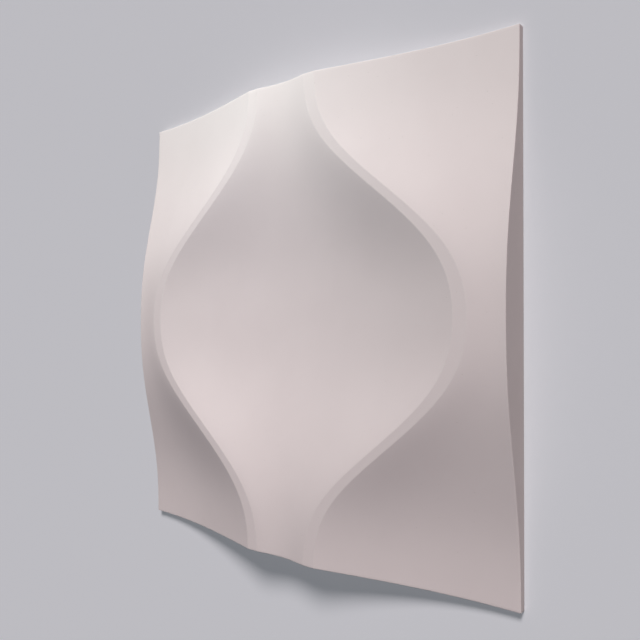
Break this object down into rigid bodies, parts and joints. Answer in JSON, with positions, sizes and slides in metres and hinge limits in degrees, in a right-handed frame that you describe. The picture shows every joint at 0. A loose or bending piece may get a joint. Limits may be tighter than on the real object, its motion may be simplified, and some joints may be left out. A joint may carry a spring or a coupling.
{
  "type": "3d wall panel tile",
  "caption": "Square cast relief tile for lining a wall, with flat ribbons snaking between smooth hanging hollows that repeat from tile to tile.",
  "frame": {"origin": "centre of the flat back face, which lies on Z = 0", "axes": "+Z out of the wall, towards the relief; +Y up the wall as in the picture, along the ribbons; +X across them"},
  "size_m": [0.5, 0.5, 0.0396],
  "materials": {
    "cast_gypsum": "matte"
  },
  "bodies": {
    "root": {"relief_tile": "cast_gypsum"}
  },
  "joints": []
}
